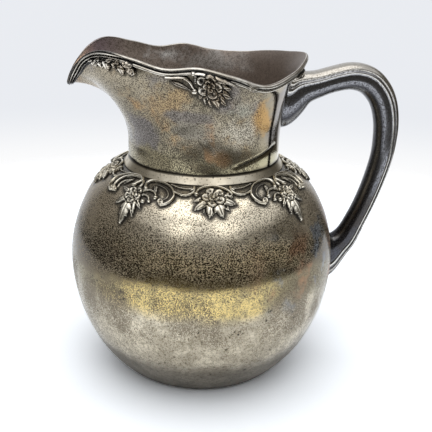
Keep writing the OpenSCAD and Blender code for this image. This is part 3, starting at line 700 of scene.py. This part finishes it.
def spray_relief():
    f = Relief(-21, 17, -0.4, 33)
    f.leaf(-2.6, 15.4, -46, 8.4, 3.6, 0.9, 2)
    f.leaf(-3.2, 12.4, -96, 7.2, 3.4, 0.9, 2, -0.1)
    f.leaf(3, 15.2, 50, 8, 3.4, 0.9, 2)
    f.leaf(2.4, 15.8, 22, 10.6, 4.6, 0.95, 2)
    f.leaf(0.2, 16.2, 0, 14.8, 8.4, 1.05, 4, 0.02)
    f.stroke([(-16.4, 15.4), (-18.2, 12.6), (-18, 8.9), (-15.4, 5.1), (-11, 2.5), (-5.6, 1.5),
              (-1.6, 2.6), (0.4, 5.2), (0.6, 8)], 1.35, 0.85)
    f.stroke([(-14.8, 13.2), (-14.6, 9.8), (-12.2, 6.8), (-8.6, 5.4)], 1, 0.55, 0.4)
    f.volute(-15.4, 14.6, 1.5, 150, 1, 1.1, 0.85)
    f.stroke([(3.6, 10.6), (5.6, 8.8), (8.4, 8.3), (11.4, 9.2), (13.4, 11.2)], 1.25, 0.8, 0.2)
    f.stroke([(4, 13.2), (6.6, 12), (9.4, 12.5), (11.2, 14.2)], 1.2, 0.8, 0.2)
    for u, d, r in ((13.8, 12.2, 1.3), (8.2, 15.9, 1.3), (11.6, 15, 1), (4.6, 7.6, 1.1)):
        f.bead(u, d, r, 1)
    f.rose(0, 13.4, 5.4, 1.1, 150)
    return f


def garland_relief():
    f = Relief(-41, -8, -0.6, 18.5)
    f.stroke([(-11.4, 4.6), (-10.2, 3.6), (-9.6, 2), (-9.9, 4.8), (-12, 7.2), (-15.4, 8.4), (-19, 7.7),
              (-21.6, 6)], 1.3, 0.8)
    f.stroke([(-9.6, 2.2), (-13.2, 3.4), (-17.6, 3), (-22.4, 1.2)], 0.9, 0.5)
    f.stroke([(-28.8, 16), (-25.6, 14.8), (-22.6, 12.2), (-21, 8.6), (-22.4, 4), (-26, 1.4),
              (-30.6, 0.6), (-34.8, 1.5), (-37.6, 4), (-38.4, 7.2)], 1.45, 0.9)
    f.stroke([(-27.2, 12.6), (-25.2, 11), (-24.2, 8.4), (-25.4, 5.6), (-28.4, 3.8), (-31.8, 3.6)],
             0.8, 0.4, 0.3)
    f.volute(-28.4, 14.3, 1.9, 100, 1.05, 1.2, 0.95)
    f.bead(-38.2, 7.8, 1.3, 1)
    f.leaf(-31.5, 3.8, -4, 6, 2.8, 0.7, 2)
    return f


def rim_rose_relief():
    f = Relief(-21, 16, 0.2, 20, 1.25)
    u, d = 1.2, 7.4
    f.leaf(-18.4, 5.2, 64, 12, 2.6, 0.7, 0, -0.06)
    f.wreath(u, d, 3.8, 1, (
        (-34, 9.4, 4.8, 0), (120, 11, 4.6, 0), (97, 12.2, 5.8, 2), (-10, 10.4, 5.6, 2),
        (74, 13.2, 6.6, 2), (50, 12.8, 6.4, 2), (8, 11.2, 6.2, 2), (28, 12.4, 6.8, 2)))
    f.stroke([(-20.6, 3), (-13.6, 3.4), (-9.4, 5.6), (-7, 9.4)], 1.9, 0.95, 0.3)
    f.bead(-6.4, 11.4, 1.9, 1.1)
    f.bead(-6.8, 1.4, 1.3, 1.2)
    f.stroke([(-6.6, 1.8), (-5.6, 4), (-5.8, 7)], 1.6, 0.6, 0.3)
    f.stroke([(-6.6, 1.4), (-2.6, 1.2), (3.4, 1.2), (9.4, 1.6), (14.8, 2.6)], 1.4, 0.95, 0.2)
    f.rose(u, d, 7, 1.1, 170)
    return f


def spout_leaf_relief():
    f = Relief(-15, 15, 0.2, 13, 1.1)
    f.stroke([(-12, 3), (-7, 4.2), (0, 4.6), (6, 4.6), (10, 4.4)], 1.8, 0.8, 0.4)
    for u, turn, long, wide in ((-9, -8, 3.6, 3.6), (-6.4, 12, 4.6, 4.2), (-3, 2, 5.8, 4.8),
                                (0.8, 20, 5, 4.2), (3.8, 6, 6, 5), (7.4, 26, 5, 4.6)):
        f.leaf(u, 3.8, turn, long, wide, 1.1, 3, 0, 0.6)
    for u, turn, long in ((-6.8, 150, 3.2), (-2.2, 128, 4), (2.6, 158, 3.4)):
        f.leaf(u, 4.4, turn, long, 2.4, 0.8)
    f.leaf(6.2, 4, 112, 5.8, 3.8, 1.15, 2)
    f.volute(10, 6, 2, 180, 1.1, 1.3, 1.15)
    f.volute(8, 2.3, 1.6, 180, -1.1, 1.2, 1.15)
    return f


def rim_leaf_relief():
    f = Relief(-8, 8, 0.2, 11)
    for turn, long in ((-72, 5.4), (-36, 5.8), (0, 6), (36, 5.8), (72, 5.4)):
        f.leaf(0.5 * math.sin(math.radians(turn)), 3, turn, long, 3.4, 1, 0)
    f.stroke([(-7, 2.4), (-4, 1.4), (0, 1), (4, 1.4), (7, 2.4)], 1.2, 0.85, 0.4)
    f.bead(0, 2.8, 1.5, 1.15)
    return f


# Mounts as pieces. The places of their tops are kept for the dark halo round them, part tarnish and part
# painted shade
shoulder_tops, rim_tops = [], []


def put_relief(name, field, place, flip, material, slot_name, tops):
    points, faces, used = field.mesh(place, flip)
    n = len(used)
    tone = np.concatenate([field.tone().ravel()[used], np.zeros(n)])
    piece(name, points, faces, material, [name], None, {"tone": tone})
    tops.extend(points[:n][field.h.ravel()[used] > TOP_H])


look = (MOUNT_MAT, "oxidised_mount", shoulder_tops)
roses, sprays, garlands = rose_relief(), spray_relief(), garland_relief()
for k, where in enumerate(("spout", "near", "handle", "far")):
    put_relief("shoulder_rose_" + where, roses, shoulder_place(90.0 * k), False, *look)
for k in range(4):
    put_relief("shoulder_spray_%d" % (k + 1), sprays, shoulder_place(45.0 + 90 * k), k % 2 == 1, *look)
for k in range(8):
    place = shoulder_place(90.0 * (k // 2))
    put_relief("shoulder_garland_%d" % (k + 1), garlands, place, k % 2 == 0, *look)
look = (RIM_MOUNT_MAT, "rim_border", rim_tops)
rim_mounts = (("rim_rose_", rim_rose_relief(), RIM_ROSE_A, 1.4),
              ("spout_leaf_", spout_leaf_relief(), SPOUT_LEAF_A, 1.6),
              ("rim_leaf_", rim_leaf_relief(), REAR_LEAF_A, 1.4))
for side, word in ((1, "near"), (-1, "far")):
    for name, field, a, lift in rim_mounts:
        put_relief(name + word, field, rim_place(a, side, lift), False, *look)


def halo(points, tops, near, far):
    """1 close to the mounts, falling to 0 at the far distance."""
    tree = kdtree.KDTree(len(tops))
    for k, t in enumerate(tops):
        tree.insert(t, k)
    tree.balance()
    away = np.array([tree.find(v)[2] for v in points.reshape(-1, 3)])
    return 1 - smooth(near, far, away).reshape(points.shape[:-1])


def stretches(*parts):
    """Steps along stretches with start, end and count. The last end is left out."""
    return np.concatenate([np.linspace(lo, hi, n, endpoint=False) for lo, hi, n in parts])


def arc(x, z, r, lo, hi, count):
    return [(x + r * math.cos(b), z + r * math.sin(b)) for b in np.linspace(lo, hi, count)]


def bowl_r(z, inset=0.0):
    """Radius of the oval below the girth."""
    return (BODY_R - inset) * np.sqrt(1 - ((GIRTH_Z - z) / (LOW_RISE - inset)) ** 2)


# Body, one spun shell with soft dents; round the mounts a dark halo of tarnish and painted shade, and towards
# the foot a painted reflection of the floor's shadow
def body():
    ring, wall, bore = BASE_R - RING_W, BODY_WALL, NECK_R - NECK_WALL
    stand = [(ring, 0), (ring + 1.5, 0), (BASE_R - 2.5, 0), (BASE_R - 1.0, 0.0), (BASE_R - 0.35, 0.12),
             (BASE_R + 0.05, 0.5)]
    side = [(bowl_r(z), z) for z in GIRTH_Z * np.sin(np.linspace(0, math.pi / 2, 60))][1:]
    side += arc(0, GIRTH_Z, BODY_R, 0, TURN, 30)[1:]
    side += arc(TURN_X, TURN_Z, SHOULDER_R, TURN, TOP_TURN, 46)[1:]
    outer = stand + [v for v in side if v[1] > 0.8]
    inner = [(bore, SEAT_Z), (bore, SEAT_Z - wall)]
    last = math.asin((SEAT_Z - wall - TURN_Z) / (SHOULDER_R - wall))
    inner += arc(TURN_X, TURN_Z, SHOULDER_R - wall, last, TURN, 16)
    inner += arc(0, GIRTH_Z, BODY_R - wall, TURN, 0, 12)[1:]
    inner += [(bowl_r(z, wall), z) for z in np.linspace(GIRTH_Z, wall, 24)][1:]
    prof = np.array(outer + inner + [(ring, wall)])
    ang = stretches((0, 360, 512))
    p = turned(ang, prof[:, :1], prof[:, 1:])
    n_out = len(outer)
    shell, z = p[:n_out], prof[:, 1]
    flow = np.gradient(prof[:n_out], axis=0)
    nor = unit(np.stack([flow[:, 1], -flow[:, 0]], 1))
    out = turned(ang, nor[:, :1], nor[:, 1:])
    soft = (smooth(3, 12, z) * (1 - smooth(SEAT_Z - 8, SEAT_Z - 1, z)))[:n_out, None]
    shell += out * ((ripple(shell, 42, 0.1, 3) + ripple(shell, 17, 0.022, 5)) * soft)[..., None]
    grime_and_painted_shade = np.zeros(p.shape[:2])
    rows = np.nonzero(z[:n_out] > SEAT_Z - 26)[0]
    # Round the mounts: tarnish and painted shade
    grime_and_painted_shade[rows] = halo(p[rows], shoulder_tops, 0.8, 3.0)
    edge = 1 - smooth(0.3, 1.6, np.hypot(prof[:, 0] - COLLAR_R, z - SEAT_Z))
    # Painted reflection of the shadow under the ewer, darkest at the foot
    foot = 0.68 * (1 - smooth(19, 34, z)) + 0.16 * (1 - smooth(0, 14, z))
    grime_and_painted_shade = np.maximum(grime_and_painted_shade, np.maximum(edge, foot)[:, None])
    piece("body", p, grid_faces(*p.shape[:2], True, True), BODY_MAT, ["body_lower", "body_upper"],
          40, {"grime_and_painted_shade": grime_and_painted_shade})


# Neck with the flared, wavy mouth and the spout. An oval dent faces the front, and a pressed
# crease climbs from the collar towards the handle
DENT_A, DENT_Z = 72, 160
CREASE_A, CREASE_END, CREASE_Z, CREASE_RISE = 108, 146, 135, 7.5


def neck():
    ang = stretches((-180, -40, 140), (-40, 40, 160), (40, 180, 140))
    runs = np.append(stretches((-1, 0, 30), (0, 0.12, 14), (0.12, 1, 49)), 1.0)
    a, s = np.meshgrid(ang, runs)
    out, base = neck_out(a, s), neck_pt(a, s)
    z = base[..., 2]
    soft = smooth(-0.95, -0.5, s) * (1 - smooth(0.8, 0.98, s)) * smooth(10, 24, 180 - np.abs(a))
    dent = (ripple(base, 46, 0.32, 11) + ripple(base, 20, 0.07, 12)) * soft
    dent -= 0.45 * bell(a, DENT_A, 20) * bell(z, DENT_Z, 6.0)
    climb = CREASE_Z + CREASE_RISE * np.clip((a - CREASE_A) / (CREASE_END - CREASE_A), 0, 1)
    crease = smooth(CREASE_A - 4, CREASE_A + 4, a) * (1 - smooth(CREASE_END - 4, CREASE_END + 4, a))
    crease *= bell(z, climb, 0.9)
    outer = base + out * (dent - 0.6 * crease)[..., None]
    top, rise, off = neck_pt(ang, 1.0), rim_rise(ang), neck_out(ang, 1.0)
    half = NECK_WALL / 2
    lip = [top + off * (half * math.cos(t) - half) + rise * half * math.sin(t)
           for t in np.linspace(0, math.pi, 9)[1:-1]]
    p = np.concatenate([outer, lip, (outer - out * NECK_WALL)[::-1]])
    solder = ripple(base[:1], 12, 1.1, 21)
    dirt = 1 - smooth(COLLAR_H - 1.0, COLLAR_H + 1.6 + solder, z - SEAT_Z)
    grime_and_painted_shade, inside = np.zeros((2, *p.shape[:2]))
    # Dark solder line at the collar; round the rim mounts a halo of tarnish and painted shade; painted shade
    # along the crease
    grime_and_painted_shade[:len(runs)] = np.maximum(dirt, 0.9 * np.maximum(halo(outer, rim_tops, 0.7, 2.4), crease))
    inside[len(runs) + 3:] = 1
    piece("neck", p, grid_faces(*p.shape[:2], True, True), NECK_MAT, ["neck"], 50,
          {"grime_and_painted_shade": grime_and_painted_shade, "inside": inside})


def collar():
    prof = [(COLLAR_IN - 0.05, 0.0), (COLLAR_R - 0.15, 0.0), (COLLAR_R + 0.05, 0.2), (COLLAR_R + 0.05, 0.45)]
    prof += [(COLLAR_R - 0.05 - (COLLAR_T - 0.4) * v, 0.6 + 3.7 * v) for v in np.linspace(0, 1, 14)]
    prof += [(COLLAR_IN + 0.2, COLLAR_H - 0.6), (COLLAR_IN - 0.05, COLLAR_H)]
    prof, ang = np.array(prof), stretches((0, 360, 360))
    p = turned(ang, prof[:, :1], SEAT_Z + prof[:, 1:])
    p[4:18, :, :2] *= (1 + ripple(p[4:18], 30, 0.0012, 31))[..., None]
    dirt = 1 - smooth(0.3, 0.9, prof[:, 1]) + 0.95 * smooth(4.1, 4.6, prof[:, 1])
    piece("neck_collar", p, grid_faces(*p.shape[:2], True, True), COLLAR_MAT, ["neck_collar"],
          45, {"grime_and_painted_shade": np.repeat(np.clip(dirt, 0, 1), len(ang))})


# Threaded border of the rim, with more threads along the lip
def border(word, side):
    ang = np.append(stretches((0, 40, 110), (40, 180, 209)), 180.0)
    a, w = np.meshgrid(ang, np.linspace(0.0, 1.0, 40))
    lip = smooth(0.36, 0.54, between(SPOUT_S, a))

    def thread(c, width, h):
        return h * half_round((w - c) / width)

    two = np.maximum(np.maximum(thread(0.06, 0.12, 0.9), thread(0.64, 0.3, 1.6)), 0.3)
    three = np.maximum(np.maximum(thread(0.13, 0.12, 2.1), thread(0.43, 0.11, 1.9)), thread(0.72, 0.11, 1.6))
    three = np.maximum(three, 0.5 - 0.4 * w)
    h = two * (1 - lip) + three * lip
    h = h * (1 - smooth(0.94, 1.0, w)) + 0.02
    h *= 0.6 + 0.4 * smooth(0, 9, a)
    knot = bell(a, KNOT_A, 2.0) * (0.4 + 0.6 * np.cos(w * 9) ** 2)
    h += 1.5 * knot * (1 - smooth(0.9, 1.0, w))
    top = under_rim(side * a, border_at(a) * w, h)
    crown = [under_rim(side * ang, d, g)
             for d, g in ((-0.1, -1.5), (-0.5, -1.2), (-0.7, -0.5), (-0.6, 0.3), (-0.25, 0.8))]
    under = [under_rim(side * ang, border_at(ang) * f, -0.5) for f in (1.0, 0.6, 0.25)]
    p = np.concatenate([crown, top, under])
    rows, cols = p.shape[:2]
    faces = grid_faces(rows, cols, True, False).tolist()
    faces += [[k * cols for k in range(rows)], [k * cols + cols - 1 for k in range(rows)][::-1]]
    tone = np.concatenate([np.tile(0.62 - 0.3 * lip[:1], (len(crown), 1)),
                           np.clip(0.625 * h - 0.16 - 0.42 * lip, 0, 1), np.zeros((len(under), cols))])
    name = "rim_moulding_" + word
    piece(name, p, faces, RIM_MAT, [name], None, {"tone": tone})


# Hollow bow handle, both stamped halves as one swept skin
def handle():
    socket_z = float(rim_top(180.0)) - BORDER_W - SOCKET_GAP - SOCKET_H / 2
    top_z = socket_z + HANDLE_RISE
    foot_z = GIRTH_Z - FOOT_DROP
    foot_x = bowl_r(foot_z)
    up_x = [0.03, 0.18, 0.334, 0.487, 0.64, 0.78, 0.885]
    up_z = [0, 0.47, 0.7, 0.93, 1.05, 0.88, 0.42]
    low_x = [0.9, 0.985, 1.005, 0.98, 0.88, 0.742, 0.575, 0.388, 0.12]
    low_z = [0.86, 0.767, 0.677, 0.57, 0.449, 0.327, 0.211, 0.103, 0.027]
    st = [(NECK_R + (HANDLE_REACH - NECK_R) * x, socket_z + HANDLE_RISE * z) for x, z in zip(up_x, up_z)]
    st += [(foot_x + (HANDLE_REACH - foot_x) * x, foot_z + (top_z - foot_z) * z)
           for x, z in zip(low_x, low_z)]
    st = np.array(st)
    # Steps from station to station, steps that are smoothed over, and steps left out at the foot
    steps, window, short = 12, 13, 7
    line = curve_points(st, steps)
    t = np.arange(len(line)) / steps
    keys = np.arange(len(st))
    socket = np.interp(t, keys, [1, 0.3, 0.05, 0] + [0] * 12)
    thick = np.interp(t, keys, [1, 1, 1, 1.03, 1.1, 1.13, 1.1, 1.06, 1, 0.94, 0.87, 0.82, 0.8, 0.82, 0.9, 1])
    foot = np.interp(t, keys, [0] * 14 + [0.06, 0.28])
    width = np.interp(t, keys, [1.2, 1.1, 1.02, 1, 1, 1, 1, 1, 1, 1, 0.98, 0.96, 0.94, 0.92, 0.92, 0.94])
    even = np.ones(window) / window
    for arr in (socket, foot, width, thick):
        arr[1:-1] = np.convolve(np.pad(arr, window // 2, mode="edge"), even, "valid")[1:-1]
    depth = (HANDLE_D * thick + (SOCKET_H - HANDLE_D) * socket + (FOOT_H - HANDLE_D) * foot) / 2
    # Half section from the outer middle to the inner middle: crowned back, groove, bead and plain flank
    section = np.array([
        (1, 0), (0.99, 0.22), (0.96, 0.42), (0.91, 0.58), (0.84, 0.72), (0.76, 0.82), (0.69, 0.885),
        (0.63, 0.905), (0.58, 0.875), (0.54, 0.855), (0.5, 0.885), (0.44, 0.935), (0.37, 0.95), (0.31, 0.92),
        (0.27, 0.885), (0.16, 0.905), (0, 0.93), (-0.2, 0.93), (-0.4, 0.88), (-0.58, 0.78), (-0.72, 0.665),
        (-0.8, 0.6), (-0.87, 0.51), (-0.95, 0.27), (-1, 0)])
    band, side = section.T
    crown = smooth(0.5, 0.62, band)
    inner = smooth(0.3, 0.62, -band)
    ridge = 0.9 * bell(band, 0.38, 0.07) + 0.55 * bell(band, 0.65, 0.05) + 0.35 * bell(band, -0.77, 0.06)
    side = np.concatenate([-side, side[-2:0:-1]])
    band, ridge, crown, inner = (np.concatenate([v, v[-2:0:-1]]) for v in (band, ridge, crown, inner))
    run = unit(np.gradient(line, axis=0))
    nor = np.stack([-run[:, 1], run[:, 0]], 1)
    rings = []
    for k in range(steps, len(line) - short):
        xz = line[k] + nor[k] * depth[k] * band[:, None]
        rings.append(np.stack([xz[:, 0], HANDLE_W * width[k] / 2 * side, xz[:, 1]], -1))

    def neck_rad(a, z):
        q = np.radians(turn_at(a))
        p = np.arcsin(np.sin(np.minimum(q, math.pi / 2)) * (z - WAIST_Z) / (rim_top(a) - WAIST_Z))
        return NECK_R + (rim_r(a) - NECK_R) * (1 - np.cos(p)) / (1 - np.cos(q))

    def on_neck(y, z, gap):
        a = 180 - np.degrees(np.arcsin(np.abs(y) / neck_rad(np.full_like(z, 180.0), z)))
        return np.sqrt((neck_rad(a, z) + gap) ** 2 - y * y)

    def on_body(y, z, gap):
        r = np.where(z < GIRTH_Z, bowl_r(z), np.sqrt(BODY_R ** 2 - (z - GIRTH_Z) ** 2))
        return np.sqrt((r + gap) ** 2 - y * y)

    def seat(on, wide, mid_z, high, steps):
        """Rings that end on the sheet that the handle is soldered to."""
        out = []
        for gap, grow in steps:
            y, z = wide * side * grow, mid_z + high * band * grow
            out.append(np.stack([on(y, z, gap), y, z], -1))
        return out

    socket_end = seat(on_neck, HANDLE_W * width[0] / 2, socket_z, SOCKET_H / 2,
                      ((-0.3, 1.0), (0.45, 1.03), (0.95, 1.0)))
    foot_end = seat(on_body, HANDLE_W * width[-1] / 2 * 1.04, foot_z, -FOOT_H / 2,
                    ((0.95, 0.98), (0.4, 1.02), (-0.5, 1.0)))
    # Rings that lead smoothly from the ends into the bow
    share = np.linspace(0, 1, 12)[1:-1, None, None]
    gap = np.linalg.norm(rings[0] - socket_end[-1], axis=-1, keepdims=True)
    first = hermite(socket_end[-1], rings[0], gap * (0.9, 0, 0), gap * unit(rings[1] - rings[0]), share)
    gap = np.linalg.norm(foot_end[0] - rings[-1], axis=-1, keepdims=True)
    last = hermite(rings[-1], foot_end[0], gap * unit(rings[-1] - rings[-2]), gap * (-0.8, 0, 0), share)
    p = np.concatenate([socket_end, first, rings, last, foot_end])
    rows, cols = p.shape[:2]
    faces = grid_faces(rows, cols, False, True).tolist()
    half = cols // 2
    rungs = [[0, 1, cols - 1]] + [[k, k + 1, cols - k - 1, cols - k] for k in range(1, half - 1)]
    rungs += [[half - 1, half, half + 1]]
    faces += rungs + [[k + (rows - 1) * cols for k in f[::-1]] for f in rungs]
    looks = {"ridge": ridge, "crown": crown, "inner": inner}
    piece("handle", p, faces, HANDLE_MAT, ["handle_half_near", "handle_half_far"], 60,
          {key: np.tile(v, (rows, 1)) for key, v in looks.items()})


body()
neck()
collar()
border("near", 1)
border("far", -1)
handle()
# The base plate stays the CAD node, with a look of its own
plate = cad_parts["base_disc"]
plate.data.materials.clear()
plate.data.materials.append(PLATE_MAT)

# Plain pale floor that fades out into the white background. The camera and the metal see it white
FLOOR_R, FLOOR_Z, FLOOR_TONE, FLOOR_WHITE = 0.5, -0.0002, (0.86, 0.86, 0.86), (1.39, 1.44, 1.50)
mesh = bpy.data.meshes.new("floor")
radii = np.concatenate([np.linspace(0.02, 0.2, 10), np.linspace(0.22, FLOOR_R, 12)])[:, None]
ang = stretches((0, 360, 96))
points = turned(ang, -radii, FLOOR_Z)
faces = grid_faces(len(radii), len(ang), False, True).tolist() + [list(range(len(ang)))]
mesh.from_pydata(points.reshape(-1, 3).tolist(), [], faces)
sh, spot = start("floor")
seen, mirrored = sh.rays()
white = sh.mix(sh.most(seen, mirrored), FLOOR_TONE, FLOOR_WHITE)
lit, clear = sh.node("BsdfDiffuse", {"Color": white}), sh.node("BsdfTransparent")
fade = sh.mul(seen, sh.span(sh.length(spot), 0.3, 0.49))
faded = sh.node("MixShader", {0: fade, 1: lit.outputs[0], 2: clear.outputs[0]})
sh.node("OutputMaterial", {"Surface": faded.outputs[0]})
mesh.materials.append(sh.mat)
floor = add_object("floor", mesh)

# Soft light from above and behind, with the unlit side of the room before the ewer
ROOM_LIT, ROOM_DIM = (0.86, 0.87, 0.89), (0.095, 0.088, 0.075)
BACK_LOW, BACK_HIGH = (1.0, 1.0, 1.0), (0.82, 0.84, 0.88)
world = bpy.data.worlds.new("studio")
bpy.context.scene.world = world
world.use_nodes = True
sh = Shader(world.node_tree)
_, y, z = sh.axes(sh.node("TexCoord").outputs["Generated"])
dim = sh.mul(sh.span(y, 0.84, 0.7), sh.sub(1.0, sh.span(z, 0.42, 0.68)))
seen, mirrored = sh.rays()
back = sh.mix(sh.span(z, -0.30, -0.20), BACK_LOW, BACK_HIGH)
room = sh.mix(dim, sh.mix(mirrored, ROOM_LIT, back), ROOM_DIM)
light = sh.node("Background", {"Color": sh.mix(seen, room, back), "Strength": 1.0})
sh.node("OutputWorld", {"Surface": light.outputs[0]})


def lamp(name, place, aim, size, power):
    data = bpy.data.lights.new(name, "AREA")
    data.shape, data.size, data.energy = "DISK", size, power
    obj = add_object(name, data)
    obj.location = place
    obj.rotation_euler = (Vector(aim) - Vector(place)).to_track_quat("-Z", "Y").to_euler()


lamp("key", place=(-0.05, -0.02, 1.15), aim=(0, 0, 0.06), size=1.2, power=4.2)
for name, x in (("window_left", -0.3), ("window_right", 0.2)):
    lamp(name, place=(x, -0.58, 0.66), aim=(0, 0, 0.11), size=0.3, power=0.2)

# Camera at the photograph's view
EYE, AIM, ROLL = Vector((-0.0418, -0.3978, 0.244)), Vector((0, 0, 0.078)), 0.022
cam_data = bpy.data.cameras.new("camera")
cam_data.sensor_width, cam_data.lens = 36.0, 57.83
cam_data.shift_x, cam_data.shift_y = 0.0329, 0.0454
cam = add_object("camera", cam_data)
cam.location = EYE
cam.rotation_mode = "QUATERNION"
cam.rotation_quaternion = (AIM - EYE).to_track_quat("-Z", "Y") @ Quaternion((0, 0, 1), ROLL)
bpy.context.scene.camera = cam
bpy.context.scene.view_settings.view_transform = "Standard"
